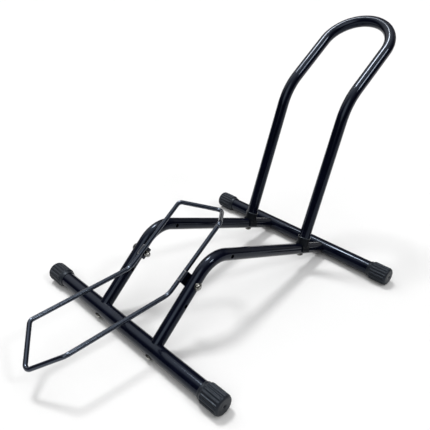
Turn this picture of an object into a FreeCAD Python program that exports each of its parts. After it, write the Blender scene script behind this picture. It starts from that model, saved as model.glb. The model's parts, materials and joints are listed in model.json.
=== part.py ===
import FreeCAD, Part
import math
import os

V = FreeCAD.Vector
os.makedirs("parts", exist_ok=True)

# Floor bike rack, millimetres.  X runs along the two floor crossbars, +Y from
# the wheel's entry (rocking cradle) to the rear hoop, +Z up.  Origin: on the
# floor, centre of the footprint.

# ---------------------------------------------------------------- dimensions
# floor crossbars
CROSSBAR_R = 12.5            # steel tube, 25 mm
CROSSBAR_WALL = 1.2
CROSSBAR_HALF = 200.4        # half length of the tube
CROSSBAR_SPACING = 416.0     # front tube axis to rear tube axis
CAP_R = 16.0                 # end cap over the rib crests, carries the rack
CAP_START = 167.0            # inner end of the cap from the middle
CAP_END = 206.0              # outer face of the cap
CAP_FLUTES = 18

# side rails
RAIL_X = 63.5                # rail axis from the middle plane
TUBE_R = 10.0                # rails and hoop, 20 mm tube
TUBE_WALL = 1.2
RAIL_VERTEX = (111.7, 111.7)  # y, z of the bend's corner from the front crossbar axis
RAIL_BEND_R = 50.0
RAIL_REAR_DROP = 2.14        # rail axis below the rear crossbar axis

# holes across the rails, positions from the front crossbar axis
PIVOT = (77.2, 77.2)
SPARE_LOW = (54.0, 54.0)
SPARE_HIGH_Y = 148.3
SPARE_HOLE_R = 3.3
BOLT_R = 3.0                 # M6
BOLT_HOLE_R = 3.2
HEAD_R = 6.5                 # washer flange of the dome head
DOME_R = 5.7
HEAD_H = 4.6

# hoop
HOOP_X = 63.5
HOOP_FOOT_Y = 343.9          # leg axis meets the rail axis
HOOP_VERTEX = (428.4, 278.8)
HOOP_BEND_R = 95.0
HOOP_UPPER_LEAN = 54.17      # degrees from vertical
HOOP_UPPER_LEN = 188.8       # bend corner to the apex
LEG_START = 13.0             # tube end above the rail axis, along the leg

# saddle between rail and hoop leg
SADDLE_T = 2.0
SADDLE_LEN = 21.0
SADDLE_WING = 3.0            # wings below the rail axis
COLLAR_R = 11.1
COLLAR_TOP = 22.5

# rocking cradle, bent rod
ROD_R = 3.5
ROD_X = 46.2
ROD_CORNER = (43.9, 66.0)    # where the flat front run meets the rising run
ROD_FRONT_SLOPE = 2.92
ROD_REAR_SLOPE = 37.99
ROD_FRONT_V_Y = -125.7
ROD_FRONT_APEX = (-162.3, 22.7)
ROD_REAR_V_Y = 146.6
ROD_REAR_APEX = (198.8, 130.3)
ROD_V_R = 9.0
ROD_BEND_R = 25.0
PLATE_X0 = 49.2              # pivot plate, inner face; the rod lies in a groove in it
PLATE_X1 = 53.2              # pivot plate, outer face
PLATE_HALF = 9.8             # half length along the rod
PLATE_DOWN = 6.3             # below the pivot
PLATE_UP = 14.0              # above the pivot, beside the rod
PIVOT_HOLE_R = 3.06          # runs on the pivot bolt
NUT_FACE_X = 48.9
NUT_AF = 10.0
NUT_H = 5.0
NUT_TOTAL = 9.6

# frame origin: construction is laid out from the front crossbar axis
ORIGIN_Y = 214.404
ORIGIN_Z = -CAP_R


# ---------------------------------------------------------------- helpers
def out(shape, name):
    s = shape.copy()
    s.translate(V(0, -ORIGIN_Y, -ORIGIN_Z))
    solids = s.Solids
    if not s.isValid() or len(solids) < 1:
        raise RuntimeError("bad shape " + name)
    res = solids[0] if len(solids) == 1 else Part.makeCompound(solids)
    res.exportStep("parts/" + name + ".step")
    b = res.optimalBoundingBox(False, False)
    print("%-26s solids %d vol %9.1f  x %.2f %.2f y %.2f %.2f z %.2f %.2f" % (
        name, len(solids), res.Volume, b.XMin, b.XMax, b.YMin, b.YMax, b.ZMin, b.ZMax))
    BOXES.append(b)
    return res


BOXES = []


def cyl(r, p, d, a, b):
    # cylinder of radius r about the line p + t*d for t from a to b
    d = V(d).normalize()
    return Part.makeCylinder(r, b - a, p + d * a, d)


def path(points, radii):
    # straight runs joined by tangent arcs
    pts = [V(*p) for p in points]
    edges = []
    start = pts[0]
    length = 0.0
    for i in range(1, len(pts) - 1):
        a, b, c = pts[i - 1], pts[i], pts[i + 1]
        u = (a - b).normalize()
        w = (c - b).normalize()
        th = math.acos(max(-1.0, min(1.0, u.dot(w))))
        r = radii[i - 1]
        t = r / math.tan(th / 2)
        p0 = b + u * t
        p1 = b + w * t
        bis = (u + w).normalize()
        mid = b + bis * (r / math.sin(th / 2) - r)
        if (p0 - start).Length > 1e-6:
            edges.append(Part.LineSegment(start, p0).toShape())
            length += (p0 - start).Length
        edges.append(Part.Arc(p0, mid, p1).toShape())
        length += r * (math.pi - th)
        start = p1
    if (pts[-1] - start).Length > 1e-6:
        edges.append(Part.LineSegment(start, pts[-1]).toShape())
        length += (pts[-1] - start).Length
    return Part.Wire(edges), length, (pts[1] - pts[0]).normalize()


def sweep(points, radii, r):
    w, length, d = path(points, radii)
    prof = Part.Wire([Part.Circle(V(*points[0]), d, r).toShape()])
    s = w.makePipeShell([prof], True, False)
    want = math.pi * r * r * length
    if abs(s.Volume - want) > 0.01 * want:
        raise RuntimeError("sweep volume %.1f, expected %.1f" % (s.Volume, want))
    return s


def tube(points, radii, r, wall):
    return sweep(points, radii, r).cut(sweep(points, radii, r - wall))


def mirror_x(s):
    return s.mirror(V(0, 0, 0), V(1, 0, 0))


def yz(p, x=0.0):
    return V(x, p[0], p[1])


def dome_head(p, d, seat, tube_point, tube_axis, tube_r):
    # low dome head growing along d, its rim's underside at p + seat*d and
    # hollowed below that to sit on the round tube
    rim = 1.0
    crown = HEAD_H - rim
    rs = (DOME_R * DOME_R + crown * crown) / (2 * crown)
    a = math.asin(DOME_R / rs) / 2
    zc = seat + HEAD_H - rs
    z0 = seat - 2.4
    pts = [V(0, 0, z0), V(HEAD_R, 0, z0), V(HEAD_R, 0, seat + rim), V(DOME_R, 0, seat + rim)]
    edges = [Part.LineSegment(pts[i], pts[i + 1]).toShape() for i in range(3)]
    edges.append(Part.Arc(pts[3], V(rs * math.sin(a), 0, zc + rs * math.cos(a)), V(0, 0, seat + HEAD_H)).toShape())
    edges.append(Part.LineSegment(V(0, 0, seat + HEAD_H), pts[0]).toShape())
    head = Part.Face(Part.Wire(edges)).revolve(V(0, 0, 0), V(0, 0, 1), 360)
    head.Placement = FreeCAD.Placement(p, FreeCAD.Rotation(V(0, 0, 1), V(d)))
    return head.cut(cyl(tube_r, tube_point, tube_axis, -40, 40))


# ---------------------------------------------------------------- directions
front_axis = V(0, 0, 0)
rear_axis = V(0, CROSSBAR_SPACING, 0)
rail_front_dir = yz(RAIL_VERTEX).normalize()
rear_end = V(0, CROSSBAR_SPACING, -RAIL_REAR_DROP)
rail_rear_dir = (rear_end - yz(RAIL_VERTEX)).normalize()
rail_rear_up = V(0, -rail_rear_dir.z, rail_rear_dir.y)


def rail_axis_z(y):
    return RAIL_VERTEX[1] + (y - RAIL_VERTEX[0]) * rail_rear_dir.z / rail_rear_dir.y


foot = V(0, HOOP_FOOT_Y, rail_axis_z(HOOP_FOOT_Y))
leg_dir = (yz(HOOP_VERTEX) - foot).normalize()
up_a = math.radians(HOOP_UPPER_LEAN)
upper_dir = V(0, math.sin(up_a), math.cos(up_a))

# nearest point of the rear rail axis to the rear crossbar axis
foot_t = (rear_axis - yz(RAIL_VERTEX)).dot(rail_rear_dir)
rear_foot = yz(RAIL_VERTEX) + rail_rear_dir * foot_t


# ---------------------------------------------------------------- crossbars
def crossbar(axis, bolt_dir, bolt_point):
    s = cyl(CROSSBAR_R, axis, V(1, 0, 0), -CROSSBAR_HALF, CROSSBAR_HALF)
    s = s.cut(cyl(CROSSBAR_R - CROSSBAR_WALL, axis, V(1, 0, 0), -CROSSBAR_HALF - 1, CROSSBAR_HALF + 1))
    for sx in (1, -1):
        s = s.cut(cyl(BOLT_HOLE_R, bolt_point + V(sx * RAIL_X, 0, 0), bolt_dir, -20, 20))
    return s


out(crossbar(front_axis, rail_front_dir, front_axis), "front_crossbar")
out(crossbar(rear_axis, rail_rear_dir, rear_foot), "rear_crossbar")


# ---------------------------------------------------------------- end caps
def end_cap(y):
    # ribbed push-on cap on the +X end, revolved about the crossbar axis
    x0, x1 = CAP_START, CAP_END
    pts = [
        (x0, CROSSBAR_R), (x0, 13.3), (x0 + 0.8, 13.9), (x0 + 4.2, 14.3),
        (x0 + 8.0, CAP_R), (x1 - 4.2, CAP_R),
    ]
    line = [Part.LineSegment(V(pts[i][0], 0, pts[i][1]), V(pts[i + 1][0], 0, pts[i + 1][1])).toShape()
            for i in range(len(pts) - 1)]
    a = V(x1 - 4.2, 0, CAP_R)
    c = V(x1, 0, CAP_R - 4.2)
    m = V(x1 - 4.2 + 4.2 * math.sin(math.pi / 4), 0, CAP_R - 4.2 + 4.2 * math.cos(math.pi / 4))
    line.append(Part.Arc(a, m, c).toShape())
    line.append(Part.LineSegment(c, V(x1, 0, 0)).toShape())
    line.append(Part.LineSegment(V(x1, 0, 0), V(CROSSBAR_HALF, 0, 0)).toShape())
    line.append(Part.LineSegment(V(CROSSBAR_HALF, 0, 0), V(CROSSBAR_HALF, 0, CROSSBAR_R)).toShape())
    line.append(Part.LineSegment(V(CROSSBAR_HALF, 0, CROSSBAR_R), V(x0, 0, CROSSBAR_R)).toShape())
    face = Part.Face(Part.Wire(line))
    s = face.revolve(V(0, 0, 0), V(1, 0, 0), 360)
    # longitudinal flutes between rib crests; a crest points straight down
    for i in range(CAP_FLUTES):
        a = math.radians(-90 + (i + 0.5) * 360.0 / CAP_FLUTES)
        r = CAP_R + 0.55
        c = V(x0 + 7.0, r * math.cos(a), r * math.sin(a))
        s = s.cut(Part.makeCylinder(1.5, x1 - x0 - 7.0 - 4.2, c, V(1, 0, 0)))
    # moulding dimple in the end face
    s = s.cut(Part.makeCylinder(1.6, 2, V(x1 - 0.5, 0, 0), V(1, 0, 0)))
    s.translate(V(0, y, 0))
    return s


for tag, y in (("front", 0.0), ("rear", CROSSBAR_SPACING)):
    c = end_cap(y)
    out(c, tag + "_right_end_cap")
    out(mirror_x(c), tag + "_left_end_cap")


# ---------------------------------------------------------------- side rails
SPARE_HIGH = (SPARE_HIGH_Y, rail_axis_z(SPARE_HIGH_Y))


def rail():
    x = RAIL_X
    s = tube([(x, 0, 0), (x, RAIL_VERTEX[0], RAIL_VERTEX[1]), (x, rear_foot.y, rear_foot.z)],
             [RAIL_BEND_R], TUBE_R, TUBE_WALL)
    # coped ends seat on the crossbars
    s = s.cut(cyl(CROSSBAR_R, front_axis, V(1, 0, 0), 0, 2 * RAIL_X))
    s = s.cut(cyl(CROSSBAR_R, rear_axis, V(1, 0, 0), 0, 2 * RAIL_X))
    s = s.cut(cyl(BOLT_HOLE_R, yz(PIVOT, x), V(1, 0, 0), -15, 15))
    s = s.cut(cyl(SPARE_HOLE_R, yz(SPARE_LOW, x), V(1, 0, 0), -15, 15))
    s = s.cut(cyl(SPARE_HOLE_R, yz(SPARE_HIGH, x), V(1, 0, 0), -15, 15))
    s = s.cut(cyl(BOLT_HOLE_R, foot + V(x, 0, 0), leg_dir, -15, 15))
    return max(s.Solids, key=lambda q: q.Volume)


r = rail()
out(r, "right_rail")
out(mirror_x(r), "left_rail")


# threaded plugs in the rail ends and the bolts that draw the joints together
def rail_plug(p, d, t0, t1):
    s = cyl(TUBE_R - TUBE_WALL, p, d, t0, t1)
    return s.cut(cyl(BOLT_R, p, d, t0 - 1, t1 + 1))


def joint_bolt(p, d, seat, tube_point, tube_axis, tube_r, t_end):
    # head on the tube's far side, shank to t_end along d
    d = V(d).normalize()
    head = dome_head(p, d * -1, seat, tube_point, tube_axis, tube_r)
    return head.fuse(cyl(BOLT_R, p, d, -seat - 1.0, t_end))


fp = V(RAIL_X, 0, 0)
out(rail_plug(fp, rail_front_dir, 15.5, 28), "front_right_rail_plug")
out(mirror_x(rail_plug(fp, rail_front_dir, 15.5, 28)), "front_left_rail_plug")
b = joint_bolt(fp, rail_front_dir, CROSSBAR_R, fp, V(1, 0, 0), CROSSBAR_R, 27)
out(b, "front_right_rail_bolt")
out(mirror_x(b), "front_left_rail_bolt")

rp = rear_foot + V(RAIL_X, 0, 0)
rd = rail_rear_dir * -1
out(rail_plug(rp, rd, 15.5, 28), "rear_right_rail_plug")
out(mirror_x(rail_plug(rp, rd, 15.5, 28)), "rear_left_rail_plug")
b = joint_bolt(rp, rd, CROSSBAR_R, rear_axis + fp, V(1, 0, 0), CROSSBAR_R, 27)
out(b, "rear_right_rail_bolt")
out(mirror_x(b), "rear_left_rail_bolt")

# ---------------------------------------------------------------- hoop
leg0 = foot + leg_dir * LEG_START
apex = yz(HOOP_VERTEX) + upper_dir * HOOP_UPPER_LEN
hp = [
    (HOOP_X, leg0.y, leg0.z),
    (HOOP_X, HOOP_VERTEX[0], HOOP_VERTEX[1]),
    (HOOP_X, apex.y, apex.z),
    (0, apex.y, apex.z),
]
hr = [HOOP_BEND_R, HOOP_X - 0.02]
half = tube(hp, hr, TUBE_R, TUBE_WALL)
hoop = half.fuse(mirror_x(half)).removeSplitter()
out(hoop, "hoop")


# ---------------------------------------------------------------- hoop saddles
def saddle():
    c = foot + V(HOOP_X, 0, 0)
    # half-pipe over the rail
    ring = cyl(TUBE_R + SADDLE_T, c, rail_rear_dir, -SADDLE_LEN / 2, SADDLE_LEN / 2)
    keep = Part.makeBox(60, 60, 30)
    keep.translate(V(-30, -30, 0))
    # place the box so that its +Z is the rail's upward normal
    rot = FreeCAD.Rotation(V(0, 0, 1), rail_rear_up)
    keep.Placement = FreeCAD.Placement(c, rot).multiply(keep.Placement)
    ring = ring.common(keep)
    # side wings run on below the rail's widest line
    for sx in (1, -1):
        w = Part.makeBox(SADDLE_T, SADDLE_LEN, SADDLE_WING, V(-SADDLE_T / 2, -SADDLE_LEN / 2, -SADDLE_WING))
        w.translate(V(sx * (TUBE_R + SADDLE_T / 2), 0, 0))
        w.Placement = FreeCAD.Placement(c, rot).multiply(w.Placement)
        ring = ring.fuse(w)
    collar = cyl(COLLAR_R, c, leg_dir, 4, COLLAR_TOP)
    s = ring.fuse(collar)
    s = s.cut(cyl(TUBE_R, c, rail_rear_dir, -40, 40))
    s = s.cut(cyl(TUBE_R, c, leg_dir, LEG_START, 60))
    s = s.cut(cyl(BOLT_HOLE_R, c, leg_dir, 0, 40))
    return max(s.Solids, key=lambda q: q.Volume)


s = saddle()
out(s, "right_hoop_saddle")
out(mirror_x(s), "left_hoop_saddle")

hc = foot + V(HOOP_X, 0, 0)
out(rail_plug(hc, leg_dir, LEG_START, 27), "right_hoop_plug")
out(mirror_x(rail_plug(hc, leg_dir, LEG_START, 27)), "left_hoop_plug")
b = joint_bolt(hc, leg_dir, TUBE_R, hc, rail_rear_dir, TUBE_R, 25)
out(b, "right_hoop_bolt")
out(mirror_x(b), "left_hoop_bolt")

# ---------------------------------------------------------------- pivot bolts
pv = yz(PIVOT)
b = joint_bolt(pv + V(RAIL_X, 0, 0), V(-1, 0, 0), TUBE_R, pv + V(RAIL_X, 0, 0), rail_front_dir, TUBE_R,
               RAIL_X - NUT_FACE_X + 7.4)
out(b, "right_pivot_bolt")
out(mirror_x(b), "left_pivot_bolt")


def cap_nut():
    # hexagonal base with a ball crown, closed end towards the middle
    rc = NUT_AF / 2 / math.cos(math.pi / 6)
    pts = []
    for i in range(7):
        a = math.radians(30 + 60 * i)
        pts.append(V(NUT_FACE_X, rc * math.cos(a), rc * math.sin(a)))
    hexa = Part.Face(Part.makePolygon(pts)).extrude(V(-NUT_H, 0, 0))
    # chamfer the corners with a cone
    cone = Part.makeCone(rc + 0.1, rc - 1.0, NUT_H, V(NUT_FACE_X, 0, 0), V(-1, 0, 0))
    body = hexa.common(cone)
    rb = 4.6
    ball = Part.makeSphere(rb, V(NUT_FACE_X - NUT_TOTAL + rb, 0, 0))
    neck = Part.makeCylinder(rb, NUT_TOTAL - rb - NUT_H + 0.5, V(NUT_FACE_X - NUT_H + 0.5, 0, 0), V(-1, 0, 0))
    body = body.fuse(neck).fuse(ball).removeSplitter()
    body = body.cut(Part.makeCylinder(BOLT_R, 7.5, V(NUT_FACE_X, 0, 0), V(-1, 0, 0)))
    body.translate(V(0, PIVOT[0], PIVOT[1]))
    return body


n = cap_nut()
out(n, "right_pivot_cap_nut")
out(mirror_x(n), "left_pivot_cap_nut")

# ---------------------------------------------------------------- cradle
rf = math.radians(ROD_FRONT_SLOPE)
rr = math.radians(ROD_REAR_SLOPE)
corner = ROD_CORNER
fv = (ROD_FRONT_V_Y, corner[1] + (ROD_FRONT_V_Y - corner[0]) * math.tan(rf))
rv = (ROD_REAR_V_Y, corner[1] + (ROD_REAR_V_Y - corner[0]) * math.tan(rr))


def cradle():
    # right half: front apex point -> front V -> corner -> rear V -> rear apex,
    # each apex rounded and finished on the middle plane
    edges = []

    def vec(p, x):
        return V(x, p[0], p[1])

    chain = [vec(fv, ROD_X), vec(corner, ROD_X), vec(rv, ROD_X)]
    fa, ra = yz(ROD_FRONT_APEX), yz(ROD_REAR_APEX)

    def half_apex(ap, nxt):
        # arc from the middle plane to the arm, tangent to the arm
        other = V(-nxt.x, nxt.y, nxt.z)
        u = (nxt - ap).normalize()
        w = (other - ap).normalize()
        th = math.acos(u.dot(w))
        t = ROD_V_R / math.tan(th / 2)
        bis = (u + w).normalize()
        cen = ap + bis * (ROD_V_R / math.sin(th / 2))
        p_mid = cen - bis * ROD_V_R
        p_arm = ap + u * t
        q = ((p_mid - cen) + (p_arm - cen)).normalize()
        return p_mid, cen + q * ROD_V_R, p_arm

    pm, pq, pa = half_apex(fa, chain[0])
    edges.append(Part.Arc(pm, pq, pa).toShape())
    rm, rq, rarm = half_apex(ra, chain[2])
    pts = [pa] + chain + [rarm]
    w, length, d = path([tuple(p) for p in pts], [ROD_V_R, ROD_BEND_R, ROD_V_R])
    edges += w.Edges
    edges.append(Part.Arc(rarm, rq, rm).toShape())
    wire = Part.Wire(edges)
    prof = Part.Wire([Part.Circle(pm, V(1, 0, 0), ROD_R).toShape()])
    h = wire.makePipeShell([prof], True, False)
    print("cradle half length %.1f volume ratio %.4f  apexes y %.2f z %.2f / y %.2f z %.2f" % (
        wire.Length, h.Volume / (wire.Length * math.pi * ROD_R ** 2), pm.y, pm.z, rm.y, rm.z))
    return h.fuse(mirror_x(h)).removeSplitter()


out(cradle(), "cradle_loop")


def pivot_plate():
    # square plate beside the rod, its long way along the rising run
    t = V(0, math.cos(rr), math.sin(rr))
    box = Part.makeBox(PLATE_X1 - PLATE_X0, 2 * PLATE_HALF, PLATE_UP + PLATE_DOWN,
                       V(PLATE_X0, -PLATE_HALF, -PLATE_DOWN))
    es = [e for e in box.Edges if abs(e.Vertexes[0].Point.y - e.Vertexes[1].Point.y) < 1e-6
          and abs(e.Vertexes[0].Point.z - e.Vertexes[1].Point.z) < 1e-6]
    box = box.makeFillet(2.0, es)
    box = box.cut(Part.makeCylinder(PIVOT_HOLE_R, 20, V(PLATE_X0 - 5, 0, 0), V(1, 0, 0)))
    box.rotate(V(0, 0, 0), V(1, 0, 0), ROD_REAR_SLOPE)
    box.translate(yz(PIVOT))
    # groove for the welded rod
    return box.cut(cyl(ROD_R, V(ROD_X, corner[0], corner[1]), t, -50, 150))


p = pivot_plate()
out(p, "right_pivot_plate")
out(mirror_x(p), "left_pivot_plate")

# ---------------------------------------------------------------- report
lo = [min(getattr(b, k) for b in BOXES) for k in ("XMin", "YMin", "ZMin")]
hi = [max(getattr(b, k) for b in BOXES) for k in ("XMax", "YMax", "ZMax")]
print("box", [round(v, 3) for v in lo], [round(v, 3) for v in hi],
      "centre y %.3f" % ((lo[1] + hi[1]) / 2))
print("pivot row frame y %.3f z %.3f" % (PIVOT[0] - ORIGIN_Y, PIVOT[1] - ORIGIN_Z))
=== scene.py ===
import bpy
import bmesh
import json
import math
from mathutils import Vector, Matrix


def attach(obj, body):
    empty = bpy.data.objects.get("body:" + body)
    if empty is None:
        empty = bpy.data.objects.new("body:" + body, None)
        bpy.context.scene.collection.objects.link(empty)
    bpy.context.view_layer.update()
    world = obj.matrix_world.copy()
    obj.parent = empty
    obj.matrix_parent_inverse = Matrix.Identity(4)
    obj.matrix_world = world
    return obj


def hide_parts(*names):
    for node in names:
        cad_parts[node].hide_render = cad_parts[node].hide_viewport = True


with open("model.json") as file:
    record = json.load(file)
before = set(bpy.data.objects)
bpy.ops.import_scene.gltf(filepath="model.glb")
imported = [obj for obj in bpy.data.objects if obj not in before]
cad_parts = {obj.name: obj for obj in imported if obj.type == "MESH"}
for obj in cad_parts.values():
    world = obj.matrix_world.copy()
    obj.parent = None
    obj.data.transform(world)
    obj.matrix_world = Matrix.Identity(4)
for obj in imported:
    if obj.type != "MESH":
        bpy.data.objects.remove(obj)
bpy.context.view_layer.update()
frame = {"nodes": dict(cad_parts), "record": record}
nodes = frame["nodes"]

# Row frame: metres, +X along the crossbars, +Y from the cradle to the hoop,
# +Z up, origin on the floor.  MM and OY turn the construction's millimetres,
# laid out from the front crossbar's axis, into row metres.
MM = 0.001
OY = 214.404
OZ = 16.0


def P(x, y, z):
    return Vector((x * MM, (y - OY) * MM, (z + OZ) * MM))


# ------------------------------------------------------------------ camera
def camera_axes(az, el, roll):
    a, e, r = math.radians(az), math.radians(el), math.radians(roll)
    fwd = -Vector((math.sin(a) * math.cos(e), -math.cos(a) * math.cos(e), math.sin(e)))
    right = fwd.cross(Vector((0, 0, 1))).normalized()
    down = fwd.cross(right)
    right2 = math.cos(r) * right + math.sin(r) * down
    down2 = -math.sin(r) * right + math.cos(r) * down
    return right2, down2, fwd


right, down, fwd = camera_axes(44.4538, 28.7783, -1.7385)
target = P(0, 127.0, 50.8)
cam_loc = target - fwd * 0.849744 + right * 0.041273 - down * 0.085186
cam_data = bpy.data.cameras.new("camera")
cam = bpy.data.objects.new("camera", cam_data)
bpy.context.scene.collection.objects.link(cam)
rot = Matrix((right, -down, -fwd)).transposed().to_4x4()
cam.matrix_world = Matrix.Translation(cam_loc) @ rot
cam_data.sensor_fit = "AUTO"
cam_data.sensor_width = 36.0
cam_data.lens = 36.0 * 524.826 / 430.0
cam_data.clip_start = 0.01
cam_data.clip_end = 30
cam_data.dof.use_dof = False
bpy.context.scene.camera = cam


# --------------------------------------------------------------- materials
class Nodes:
    def __init__(self, name):
        self.mat = bpy.data.materials.new(name)
        self.mat.use_nodes = True
        self.t = self.mat.node_tree
        self.t.nodes.clear()
        self.out = self.t.nodes.new("ShaderNodeOutputMaterial")
        self.b = self.t.nodes.new("ShaderNodeBsdfPrincipled")
        self.t.links.new(self.b.outputs[0], self.out.inputs[0])
        self.co = self.t.nodes.new("ShaderNodeTexCoord").outputs["Object"]

    def link(self, a, b):
        self.t.links.new(a, b)

    def map(self, scale=(1, 1, 1), rot=(0, 0, 0)):
        n = self.t.nodes.new("ShaderNodeMapping")
        n.inputs["Scale"].default_value = scale
        n.inputs["Rotation"].default_value = rot
        self.link(self.co, n.inputs["Vector"])
        return n.outputs[0]

    def noise(self, scale, detail=3.0, rough=0.5, vec=None, dist=0.0):
        n = self.t.nodes.new("ShaderNodeTexNoise")
        n.inputs["Scale"].default_value = scale
        n.inputs["Detail"].default_value = detail
        n.inputs["Roughness"].default_value = rough
        n.inputs["Distortion"].default_value = dist
        self.link(vec or self.co, n.inputs["Vector"])
        return n.outputs["Fac"]

    def voronoi(self, scale, feature="F1", vec=None):
        n = self.t.nodes.new("ShaderNodeTexVoronoi")
        n.feature = feature
        n.inputs["Scale"].default_value = scale
        self.link(vec or self.co, n.inputs["Vector"])
        return n.outputs["Distance"]

    def ramp(self, fac, stops):
        n = self.t.nodes.new("ShaderNodeValToRGB")
        cr = n.color_ramp
        while len(cr.elements) < len(stops):
            cr.elements.new(0.5)
        for e, (p, c) in zip(cr.elements, stops):
            e.position = p
            e.color = (c, c, c, 1) if isinstance(c, (int, float)) else (*c, 1)
        self.link(fac, n.inputs["Fac"])
        return n.outputs["Color"]

    def range(self, fac, a, b, c, d):
        n = self.t.nodes.new("ShaderNodeMapRange")
        for k, v in zip(("From Min", "From Max", "To Min", "To Max"), (a, b, c, d)):
            n.inputs[k].default_value = v
        self.link(fac, n.inputs["Value"])
        return n.outputs["Result"]

    def math(self, op, a, b):
        n = self.t.nodes.new("ShaderNodeMath")
        n.operation = op
        for i, v in enumerate((a, b)):
            if isinstance(v, (int, float)):
                n.inputs[i].default_value = v
            else:
                self.link(v, n.inputs[i])
        return n.outputs[0]

    def mix(self, fac, a, b):
        n = self.t.nodes.new("ShaderNodeMix")
        n.data_type = "RGBA"
        if isinstance(fac, (int, float)):
            n.inputs[0].default_value = fac
        else:
            self.link(fac, n.inputs[0])
        for i, v in ((6, a), (7, b)):
            if isinstance(v, tuple):
                n.inputs[i].default_value = (*v, 1)
            else:
                self.link(v, n.inputs[i])
        return n.outputs[2]

    def bump(self, height, strength, distance, normal=None):
        n = self.t.nodes.new("ShaderNodeBump")
        n.inputs["Strength"].default_value = strength
        n.inputs["Distance"].default_value = distance
        self.link(height, n.inputs["Height"])
        if normal is not None:
            self.link(normal, n.inputs["Normal"])
        return n.outputs[0]


def powder_coat(name, spec, r0, r1):
    # gloss black powder coat over steel: slight blue, orange peel, faint dust
    m = Nodes(name)
    cloud = m.noise(38, 4, 0.6)
    speck = m.noise(1500, 2, 0.5)
    base = m.ramp(cloud, [(0.32, (0.0009, 0.0013, 0.0042)), (0.55, (0.0013, 0.0018, 0.0060)),
                          (0.75, (0.0021, 0.0028, 0.0082))])
    dust = m.ramp(speck, [(0.64, 0.0), (0.76, 1.0)])
    dust = m.math("MULTIPLY", dust, m.range(m.noise(48, 3, 0.6), 0.48, 0.74, 0.0, 0.10))
    col = m.mix(dust, base, (0.026, 0.028, 0.034))
    m.link(col, m.b.inputs["Base Color"])
    rough = m.range(m.noise(85, 5, 0.62), 0.3, 0.72, r0, r1)
    rough = m.math("ADD", rough, m.math("MULTIPLY", dust, 0.25))
    m.link(rough, m.b.inputs["Roughness"])
    m.b.inputs["IOR"].default_value = 1.5
    m.b.inputs["Specular IOR Level"].default_value = spec
    m.b.inputs["Specular Tint"].default_value = (0.66, 0.79, 1.0, 1.0)
    peel = m.bump(m.noise(520, 2, 0.5), 0.10, 0.0005)
    fine = m.bump(m.noise(2400, 2, 0.5), 0.06, 0.00015, peel)
    m.link(fine, m.b.inputs["Normal"])
    return m.mat


def cap_plastic(name, dark, spec):
    # moulded charcoal plastic: spark-eroded grain, slight flow streaks
    m = Nodes(name)
    flow = m.noise(26, 4, 0.6, vec=m.map(scale=(0.35, 1, 1)), dist=0.4)
    base = m.ramp(flow, [(p, tuple(v * dark for v in c)) for p, c in (
        (0.30, (0.0030, 0.0037, 0.0060)), (0.52, (0.0044, 0.0053, 0.0082)), (0.74, (0.0064, 0.0075, 0.0110)))])
    grain = m.noise(3400, 3, 0.6)
    pale = m.ramp(grain, [(0.55, 0.0), (0.75, 0.35)])
    col = m.mix(pale, base, (0.014 * dark, 0.0158 * dark, 0.020 * dark))
    m.link(col, m.b.inputs["Base Color"])
    rough = m.range(m.noise(210, 4, 0.6), 0.3, 0.7, 0.36, 0.48)
    m.link(rough, m.b.inputs["Roughness"])
    m.b.inputs["IOR"].default_value = 1.49
    m.b.inputs["Specular IOR Level"].default_value = spec
    m.b.inputs["Specular Tint"].default_value = (0.74, 0.86, 1.0, 1.0)
    soft = m.bump(m.noise(420, 3, 0.5), 0.14, 0.0004)
    n = m.bump(grain, 0.24, 0.00012, soft)
    m.link(n, m.b.inputs["Normal"])
    return m.mat


def bright_zinc():
    m = Nodes("bright_zinc")
    cloud = m.noise(160, 5, 0.65)
    base = m.ramp(cloud, [(0.30, (0.16, 0.16, 0.150)), (0.50, (0.33, 0.33, 0.312)), (0.75, (0.46, 0.46, 0.44))])
    # dark blotches: partly zinc staining, partly painted reflection standing in for the dark bands a polished dome
    # shows
    stain_and_painted_reflection = m.ramp(m.noise(420, 4, 0.7), [(0.50, 0.0), (0.62, 0.80)])
    col = m.mix(stain_and_painted_reflection, base, (0.055, 0.052, 0.044))
    m.link(col, m.b.inputs["Base Color"])
    m.b.inputs["Metallic"].default_value = 1.0
    rough = m.range(m.noise(900, 4, 0.6), 0.3, 0.7, 0.06, 0.14)
    m.link(rough, m.b.inputs["Roughness"])
    n = m.bump(m.noise(700, 3, 0.5), 0.10, 0.0003)
    m.link(n, m.b.inputs["Normal"])
    return m.mat


# rougher zinc for the washer flange; its dark colour is painted shade, giving each dome a dark ring
def flange_zinc_painted_shade():
    m = Nodes("flange_zinc_painted_shade")
    base = m.ramp(m.noise(260, 5, 0.65), [(0.30, (0.030, 0.030, 0.029)), (0.70, (0.105, 0.104, 0.098))])
    m.link(base, m.b.inputs["Base Color"])
    m.b.inputs["Metallic"].default_value = 1.0
    m.link(m.range(m.noise(900, 4, 0.6), 0.3, 0.7, 0.26, 0.42), m.b.inputs["Roughness"])
    m.link(m.bump(m.noise(900, 3, 0.5), 0.15, 0.0003), m.b.inputs["Normal"])
    return m.mat


def turned_steel():
    m = Nodes("turned_steel")
    cloud = m.noise(240, 4, 0.6)
    base = m.ramp(cloud, [(0.3, (0.30, 0.30, 0.305)), (0.7, (0.48, 0.48, 0.485))])
    m.link(base, m.b.inputs["Base Color"])
    m.b.inputs["Metallic"].default_value = 1.0
    m.link(m.range(m.noise(1300, 4, 0.6), 0.3, 0.7, 0.28, 0.46), m.b.inputs["Roughness"])
    m.link(m.bump(m.noise(1500, 2, 0.5), 0.2, 0.0002), m.b.inputs["Normal"])
    return m.mat


def weld_coat():
    # the powder coat where it lies over a weld: lumpier, a little greyer
    m = Nodes("coated_weld")
    cloud = m.noise(300, 4, 0.6)
    base = m.ramp(cloud, [(0.3, (0.022, 0.024, 0.030)), (0.7, (0.085, 0.090, 0.100))])
    m.link(base, m.b.inputs["Base Color"])
    m.link(m.range(m.noise(800, 4, 0.6), 0.3, 0.7, 0.26, 0.42), m.b.inputs["Roughness"])
    m.link(m.bump(m.noise(900, 3, 0.55), 0.35, 0.0005), m.b.inputs["Normal"])
    return m.mat


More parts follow.
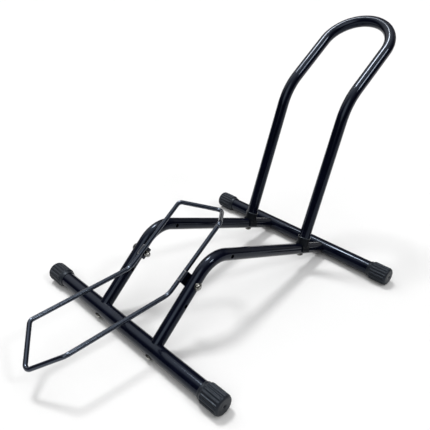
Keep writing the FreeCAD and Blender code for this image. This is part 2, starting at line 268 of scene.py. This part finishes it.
M_BLACK = powder_coat("black_powder_coat", 0.24, 0.075, 0.135)
M_ROD = powder_coat("black_rod_coat", 0.80, 0.15, 0.22)
M_CAP = cap_plastic("charcoal_plastic", 0.95, 0.29)
# the saddles get the cap plastic at under half its brightness: painted shade, not a blacker plastic
M_SADDLE_SHADED = cap_plastic("cap_plastic_painted_shade", 0.45, 0.12)
M_ZINC = bright_zinc()
M_FLANGE_SHADE = flange_zinc_painted_shade()
M_STEEL = turned_steel()
M_WELD = weld_coat()


def lip_plastic():
    # the saddle collar's rim, rubbed smooth where the leg was pushed in
    m = Nodes("rubbed_plastic")
    cloud = m.noise(90, 4, 0.6)
    m.link(m.ramp(cloud, [(0.3, (0.0045, 0.0055, 0.0085)), (0.7, (0.0085, 0.0100, 0.0140))]), m.b.inputs["Base Color"])
    m.link(m.range(m.noise(420, 4, 0.6), 0.3, 0.7, 0.14, 0.22), m.b.inputs["Roughness"])
    m.b.inputs["Specular IOR Level"].default_value = 0.52
    m.b.inputs["Specular Tint"].default_value = (0.74, 0.86, 1.0, 1.0)
    m.link(m.bump(m.noise(600, 3, 0.5), 0.10, 0.0003), m.b.inputs["Normal"])
    return m.mat


M_LIP = lip_plastic()
BY_SLOT = {"black_steel": M_BLACK, "cap_plastic": M_CAP, "bright_fasteners": M_ZINC, "plug_steel": M_STEEL}
node_slot = {s["node"]: s["material_slot"] for s in frame["record"]["subparts"]}
for n, o in nodes.items():
    mat = BY_SLOT[node_slot[n]]
    if n == "cradle_loop":
        mat = M_ROD
    elif n.endswith("_saddle"):
        mat = M_SADDLE_SHADED
    if not o.material_slots:
        o.data.materials.append(mat)
    for s in o.material_slots:
        s.material = mat


# ------------------------------------------------------------ mesh helpers
def make(name, verts, faces, mat, body, replace=(), smooth=True, sharp=None):
    me = bpy.data.meshes.new(name)
    me.from_pydata([tuple(v) for v in verts], [], faces)
    me.validate()
    bm = bmesh.new()
    bm.from_mesh(me)
    bmesh.ops.recalc_face_normals(bm, faces=bm.faces)
    bm.to_mesh(me)
    bm.free()
    me.materials.append(mat)
    if smooth:
        me.polygons.foreach_set("use_smooth", [True] * len(me.polygons))
    if sharp is not None:
        me.set_sharp_from_angle(angle=math.radians(sharp))
    o = bpy.data.objects.new(name, me)
    bpy.context.scene.collection.objects.link(o)
    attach(o, body)
    if replace:
        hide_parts(*replace)
    return o


def frame_of(d):
    d = Vector(d).normalized()
    a = Vector((0, 0, 1)) if abs(d.z) < 0.9 else Vector((1, 0, 0))
    u = a.cross(d).normalized()
    return u, d.cross(u), d


def lathe(profile, origin, d, n, wobble=None):
    # closed surface of revolution: profile is (t, r) from one pole to the other
    u, w, d = frame_of(d)
    verts, faces, rings = [], [], []
    for i, (t, r) in enumerate(profile):
        if r <= 1e-9:
            rings.append([len(verts)])
            verts.append(origin + d * t)
            continue
        ring = []
        for k in range(n):
            a = 2 * math.pi * k / n
            rr = r if wobble is None else wobble(i, t, r, a)
            ring.append(len(verts))
            verts.append(origin + d * t + (u * math.cos(a) + w * math.sin(a)) * rr)
        rings.append(ring)
    for a, b in zip(rings, rings[1:]):
        if len(a) == 1:
            faces += [(a[0], b[k], b[(k + 1) % n]) for k in range(n)]
        elif len(b) == 1:
            faces += [(b[0], a[(k + 1) % n], a[k]) for k in range(n)]
        else:
            faces += [(a[k], a[(k + 1) % n], b[(k + 1) % n], b[k]) for k in range(n)]
    return verts, faces


# ------------------------------------------------------------------ caps
CAP_X0, CAP_X1, CAP_R, BAR_R = 167.0, 206.0, 16.0, 12.5
FLUTES = 18


def smooth(t):
    t = min(1.0, max(0.0, t))
    return t * t * (3 - 2 * t)


def cap_profile():
    x0, x1 = CAP_X0, CAP_X1
    # bore side, from the closed bottom out to the rounded lip
    pts = [(200.45, 0.0), (200.45, 12.45), (x0 + 0.6, 12.52)]
    for k in range(6):
        a = math.pi * k / 5
        pts.append((x0 + 0.45 - 0.45 * math.sin(a), 12.97 - 0.40 * math.cos(a)))
    pts += [(x0 + 1.2, 13.75), (x0 + 2.6, 13.95), (x0 + 4.2, 14.10)]
    for k in range(1, 9):
        t = k / 8
        pts.append((x0 + 4.2 + 4.0 * t, 14.10 + 1.90 * smooth(t)))
    for k in range(1, 15):
        pts.append((x0 + 8.2 + (x1 - 4.6 - x0 - 8.2) * k / 14, CAP_R))
    for k in range(1, 13):
        a = math.pi / 2 * k / 12
        pts.append((x1 - 4.6 + 4.6 * math.sin(a), CAP_R - 4.6 + 4.6 * math.cos(a)))
    pts += [(x1 - 0.01, 9.0), (x1, 6.0), (x1, 2.5), (x1 - 0.25, 2.1), (x1 - 1.6, 1.7), (x1 - 2.2, 0.0)]
    return pts


def cap_wobble(i, t, r, a):
    if r < 12.6 or t < CAP_X0 + 4:
        return r
    fade_in = smooth((t - CAP_X0 - 6.2) / 2.6)
    fade_out = 1 - smooth((t - (CAP_X1 - 4.6)) / 3.2)
    phase = (a * FLUTES / (2 * math.pi)) % 1.0
    g = 0.5 + 0.5 * math.cos(2 * math.pi * phase)
    g = smooth(g) ** 1.1
    return r - 1.30 * fade_in * fade_out * g


def end_cap(name, sx, y):
    prof = cap_profile()
    o = P(0, y, 0)
    verts, faces = lathe(prof, Vector((0, 0, 0)), Vector((1, 0, 0)), FLUTES * 14, cap_wobble)
    # the lathe's angles start at its own axis; turn it so a crest points down
    u, w, d = frame_of(Vector((1, 0, 0)))
    turn = math.atan2(Vector((0, 0, -1)).dot(w), Vector((0, 0, -1)).dot(u)) + math.pi / FLUTES
    R = Matrix.Rotation(turn, 3, Vector((1, 0, 0)))
    verts = [R @ v for v in verts]
    verts = [Vector((sx * v.x, v.y, v.z)) * MM + o for v in verts]
    if sx < 0:
        faces = [tuple(reversed(f)) for f in faces]
    return make(name, verts, faces, M_CAP, "frame", (name.replace("_moulded", ""),), sharp=40)


for tag, y in (("front", 0.0), ("rear", 416.0)):
    for side, sx in (("right", 1), ("left", -1)):
        end_cap(f"{tag}_{side}_end_cap_moulded", sx, y)


# ------------------------------------------------------------- dome bolts
RAIL_X, TUBE_R = 63.5, 10.0
S = 1 / math.sqrt(2)
front_dir = Vector((0, S, S))
VERTEX = Vector((0, 111.7, 111.7))
rear_dir = (Vector((0, 416.0, -2.14)) - VERTEX).normalized()
rear_foot = VERTEX + rear_dir * (Vector((0, 416.0, 0)) - VERTEX).dot(rear_dir)
hoop_foot = VERTEX + rear_dir * ((343.9 - VERTEX.y) / rear_dir.y)
leg_dir = (Vector((0, 428.4, 278.8)) - hoop_foot).normalized()
pivot = Vector((0, 77.2, 77.2))


def on_tube(o, d, c, ax, r):
    # how far along d from o the tube's surface lies
    q = o - c
    q = q - ax * q.dot(ax)
    e = d - ax * d.dot(ax)
    A, B, C = e.dot(e), 2 * q.dot(e), q.dot(q) - r * r
    return (-B + math.sqrt(max(0.0, B * B - 4 * A * C))) / (2 * A)


def dome_bolt(name, p, d, c, ax, tube_r, shank):
    # p on the bolt's axis, d outward through the head; the flange's underside
    # follows the round tube and the shank reaches shank mm the other way
    d = d.normalized()
    seat = tube_r
    n = 56
    u, w, _ = frame_of(d)
    rows = [("t", -shank, 0.0), ("t", -shank, 2.5), ("t", -shank + 0.6, 2.99), ("t", seat - 3.2, 2.99)]
    rows += [("s", 0.02, r) for r in (3.4, 4.2, 5.0, 5.8, 6.35)]
    rows += [("s", 0.22, 6.5), ("t", seat + 0.72, 6.5), ("t", seat + 0.92, 6.42), ("t", seat + 1.0, 6.25),
             ("t", seat + 1.0, 5.86), ("t", seat + 1.06, 5.70), ("t", seat + 1.35, 5.66)]
    crown = 4.6 - 1.35
    rs = (5.66 * 5.66 + crown * crown) / (2 * crown)
    a0 = math.asin(5.66 / rs)
    for k in range(1, 15):
        a = a0 * (1 - k / 15)
        rows.append(("t", seat + 4.6 - rs + rs * math.cos(a), rs * math.sin(a)))
    rows.append(("t", seat + 4.6, 0.0))
    verts, faces, rings = [], [], []
    for kind, t, r in rows:
        if r == 0.0:
            rings.append([len(verts)])
            verts.append(p + d * t)
            continue
        ring = []
        for k in range(n):
            a = 2 * math.pi * k / n
            o = p + (u * math.cos(a) + w * math.sin(a)) * r
            tt = t if kind == "t" else min(on_tube(o, d, c, ax, tube_r) + t, seat + 0.6)
            ring.append(len(verts))
            verts.append(o + d * tt)
        rings.append(ring)
    for a, b in zip(rings, rings[1:]):
        if len(a) == 1:
            faces += [(a[0], b[k], b[(k + 1) % n]) for k in range(n)]
        elif len(b) == 1:
            faces += [(b[0], a[(k + 1) % n], a[k]) for k in range(n)]
        else:
            faces += [(a[k], a[(k + 1) % n], b[(k + 1) % n], b[k]) for k in range(n)]
    verts = [P(v.x, v.y, v.z) for v in verts]
    o = make(name + "_domed", verts, faces, M_ZINC, "frame", (name,), sharp=38)
    # the washer flange, below the dome, gets a rougher zinc whose dark colour is painted shade, a dark ring round the
    # dome
    o.data.materials.append(M_FLANGE_SHADE)
    for k, f in enumerate(o.data.polygons):
        if 3 <= k // n <= 13:
            f.material_index = 1
    return o


X = Vector((1, 0, 0))
for side, sx in (("right", 1), ("left", -1)):
    at = Vector((sx * RAIL_X, 0, 0))
    dome_bolt(f"front_{side}_rail_bolt", at, front_dir * -1, at, X, BAR_R, 27.0)
    dome_bolt(f"rear_{side}_rail_bolt", rear_foot + at, rear_dir, Vector((0, 416.0, 0)) + at, X, BAR_R, 27.0)
    dome_bolt(f"{side}_hoop_bolt", hoop_foot + at, leg_dir * -1, hoop_foot + at, rear_dir, TUBE_R, 25.0)
    dome_bolt(f"{side}_pivot_bolt", pivot + at, X * sx, pivot + at, front_dir, TUBE_R, 22.0)


# ------------------------------------------------------- welds and collars
def jitter(i, s):
    # fixed, repeatable unevenness in -1..1
    v = math.sin(i * 12.9898 + s * 78.233) * 43758.5453
    return 2 * (v - math.floor(v)) - 1


def bead(name, centre, r, ripples, body, closed=False, seed=0.0, flat=1.0):
    # lumpy bead along a list of points in construction millimetres
    n, m = len(centre), 14
    verts, faces = [], []
    for i, c in enumerate(centre):
        a = centre[(i - 1) % n] if closed or i else centre[i]
        b = centre[(i + 1) % n] if closed or i < n - 1 else centre[i]
        d = (b - a).normalized()
        u, w, _ = frame_of(d)
        ph = i / (n if closed else n - 1)
        rip = 0.86 + 0.14 * abs(math.sin(math.pi * ripples * ph + 0.35 * jitter(int(ph * ripples), seed)))
        rip *= 1 + 0.05 * jitter(int(ph * ripples * 2), seed + 3)
        end = 1.0 if closed else min(1.0, math.sqrt(max(0.0, min(ph, 1 - ph)) * 9 + 0.02))
        for k in range(m):
            t = 2 * math.pi * k / m
            verts.append(c + (u * math.cos(t) + w * math.sin(t) * flat) * r * rip * end)
    for i in range(n if closed else n - 1):
        j = (i + 1) % n
        faces += [(i * m + k, i * m + (k + 1) % m, j * m + (k + 1) % m, j * m + k) for k in range(m)]
    if not closed:
        faces.append(tuple(reversed(range(m))))
        faces.append(tuple(range((n - 1) * m, n * m)))
    verts = [P(v.x, v.y, v.z) for v in verts]
    return make(name, verts, faces, M_WELD, body)


SLOPE = math.radians(37.99)
run = Vector((0, math.cos(SLOPE), math.sin(SLOPE)))
lift = Vector((0, -math.sin(SLOPE), math.cos(SLOPE)))
ROD_N = 11.67                # rod axis above the pivot, square to the run
for side, sx in (("right", 1), ("left", -1)):
    for tag, n0, x0, r0 in (("lower", ROD_N - 3.05, 48.9, 1.75), ("upper", ROD_N + 2.75, 49.3, 1.1)):
        pts = [pivot + Vector((sx * x0, 0, 0)) + run * (-9.2 + 18.4 * k / 64) + lift * n0 for k in range(65)]
        bead(f"{side}_plate_{tag}_weld", pts, r0, 11, "cradle", seed=sx + len(tag))
    # short tacks laid round the rod at the plate's ends
    for tag, along in (("front", -8.4), ("rear", 8.2)):
        c = pivot + lift * ROD_N + run * along + Vector((sx * 46.2, 0, 0))
        arc = [c + (Vector((sx * math.cos(t), 0, 0)) + lift * math.sin(t)) * 3.45
               for t in (math.radians(-70 + 185 * k / 40) for k in range(41))]
        bead(f"{side}_plate_{tag}_tack", arc, 1.05, 5, "cradle", seed=sx * 2 + along)
# the rod's own butt weld, ground nearly flush
wy = 141.4
wc = Vector((46.2, wy, 66.0 + (wy - 43.9) * math.tan(SLOPE)))
ring = [wc + (X * math.cos(t) + lift * math.sin(t)) * 3.42 for t in (2 * math.pi * k / 72 for k in range(72))]
bead("cradle_butt_weld", ring, 0.62, 13, "cradle", closed=True, seed=5.0)


def collar_lip(name, sx):
    # rounded lip closing the saddle's collar against the hoop's leg
    c = hoop_foot + Vector((sx * RAIL_X, 0, 0)) + leg_dir * 22.35
    u, w, d = frame_of(leg_dir)
    n, m = 72, 12
    verts, faces = [], []
    for i in range(n):
        a = 2 * math.pi * i / n
        rad = u * math.cos(a) + w * math.sin(a)
        for k in range(m):
            t = 2 * math.pi * k / m
            verts.append(c + rad * (10.78 + 0.74 * math.cos(t)) + d * (0.95 * math.sin(t)))
    for i in range(n):
        j = (i + 1) % n
        faces += [(i * m + k, i * m + (k + 1) % m, j * m + (k + 1) % m, j * m + k) for k in range(m)]
    return make(name, [P(v.x, v.y, v.z) for v in verts], faces, M_LIP, "frame")


for side, sx in (("right", 1), ("left", -1)):
    collar_lip(f"{side}_saddle_collar_lip", sx)


# ------------------------------------------------------------- floor, light
def plane(name, size, z):
    me = bpy.data.meshes.new(name)
    n = 24
    vs, fs = [], []
    for i in range(n + 1):
        for j in range(n + 1):
            vs.append(((i / n - 0.5) * size, (j / n - 0.5) * size, z))
    for i in range(n):
        for j in range(n):
            a = i * (n + 1) + j
            fs.append((a, a + n + 1, a + n + 2, a + 1))
    me.from_pydata(vs, [], fs)
    o = bpy.data.objects.new(name, me)
    bpy.context.scene.collection.objects.link(o)
    return o


floor = plane("floor", 14.0, -0.0002)
fm = Nodes("pale_floor")
fm.link(fm.ramp(fm.noise(3.0, 3, 0.5), [(0.3, (0.600, 0.600, 0.600)), (0.7, (0.620, 0.620, 0.620))]), fm.b.inputs["Base Color"])
fm.b.inputs["Roughness"].default_value = 0.9
fm.b.inputs["Specular IOR Level"].default_value = 0.0
floor.data.materials.append(fm.mat)

# The studio: an overhead glow that fades towards the horizon, and soft boxes
# far enough away to light the whole floor evenly.
# azimuth, elevation, full within, gone beyond (degrees), brightness
BOXES = [
    (-99, 67, 3.0, 8.0, 54.0),
    (105, 46, 2.5, 7.0, 29.0),
    (-88, 42, 8.0, 38.0, 1.25),
    (22, 38, 5.0, 28.0, 2.6),
    (172, 14, 8.0, 26.0, 0.35),
]
world = bpy.data.worlds.new("studio")
bpy.context.scene.world = world
world.use_nodes = True
wt = world.node_tree
coord = wt.nodes.new("ShaderNodeTexCoord").outputs["Generated"]
split = wt.nodes.new("ShaderNodeSeparateXYZ")
wt.links.new(coord, split.inputs[0])
glow = wt.nodes.new("ShaderNodeValToRGB")
GLOW = [(0.0, 0.02), (0.30, 0.04), (0.60, 0.13), (0.84, 0.75), (0.94, 1.5), (1.0, 2.0)]
while len(glow.color_ramp.elements) < len(GLOW):
    glow.color_ramp.elements.new(0.5)
for e, (p, v) in zip(glow.color_ramp.elements, GLOW):
    e.position = p
    e.color = (v, v, v, 1)
wt.links.new(split.outputs["Z"], glow.inputs["Fac"])
total = glow.outputs["Color"]
for az, el, inner, outer, power in BOXES:
    a, e = math.radians(az), math.radians(el)
    dot = wt.nodes.new("ShaderNodeVectorMath")
    dot.operation = "DOT_PRODUCT"
    dot.inputs[1].default_value = (math.sin(a) * math.cos(e), -math.cos(a) * math.cos(e), math.sin(e))
    wt.links.new(coord, dot.inputs[0])
    r = wt.nodes.new("ShaderNodeMapRange")
    r.interpolation_type = "SMOOTHSTEP"
    r.inputs["From Min"].default_value = math.cos(math.radians(outer))
    r.inputs["From Max"].default_value = math.cos(math.radians(inner))
    r.inputs["To Max"].default_value = power
    wt.links.new(dot.outputs["Value"], r.inputs["Value"])
    add = wt.nodes.new("ShaderNodeVectorMath")
    add.operation = "ADD"
    wt.links.new(total, add.inputs[0])
    wt.links.new(r.outputs["Result"], add.inputs[1])
    total = add.outputs[0]
wt.links.new(total, wt.nodes["Background"].inputs[0])
wt.nodes["Background"].inputs[1].default_value = 1.0
# beyond the floor's edge a plain pale backdrop is seen
pale = wt.nodes.new("ShaderNodeBackground")
pale.inputs[0].default_value = (1.0, 1.0, 1.0, 1)
pick = wt.nodes.new("ShaderNodeMixShader")
wt.links.new(wt.nodes.new("ShaderNodeLightPath").outputs["Is Camera Ray"], pick.inputs[0])
wt.links.new(wt.nodes["Background"].outputs[0], pick.inputs[1])
wt.links.new(pale.outputs[0], pick.inputs[2])
wt.links.new(pick.outputs[0], wt.nodes["World Output"].inputs[0])
bpy.context.scene.view_settings.view_transform = "Standard"
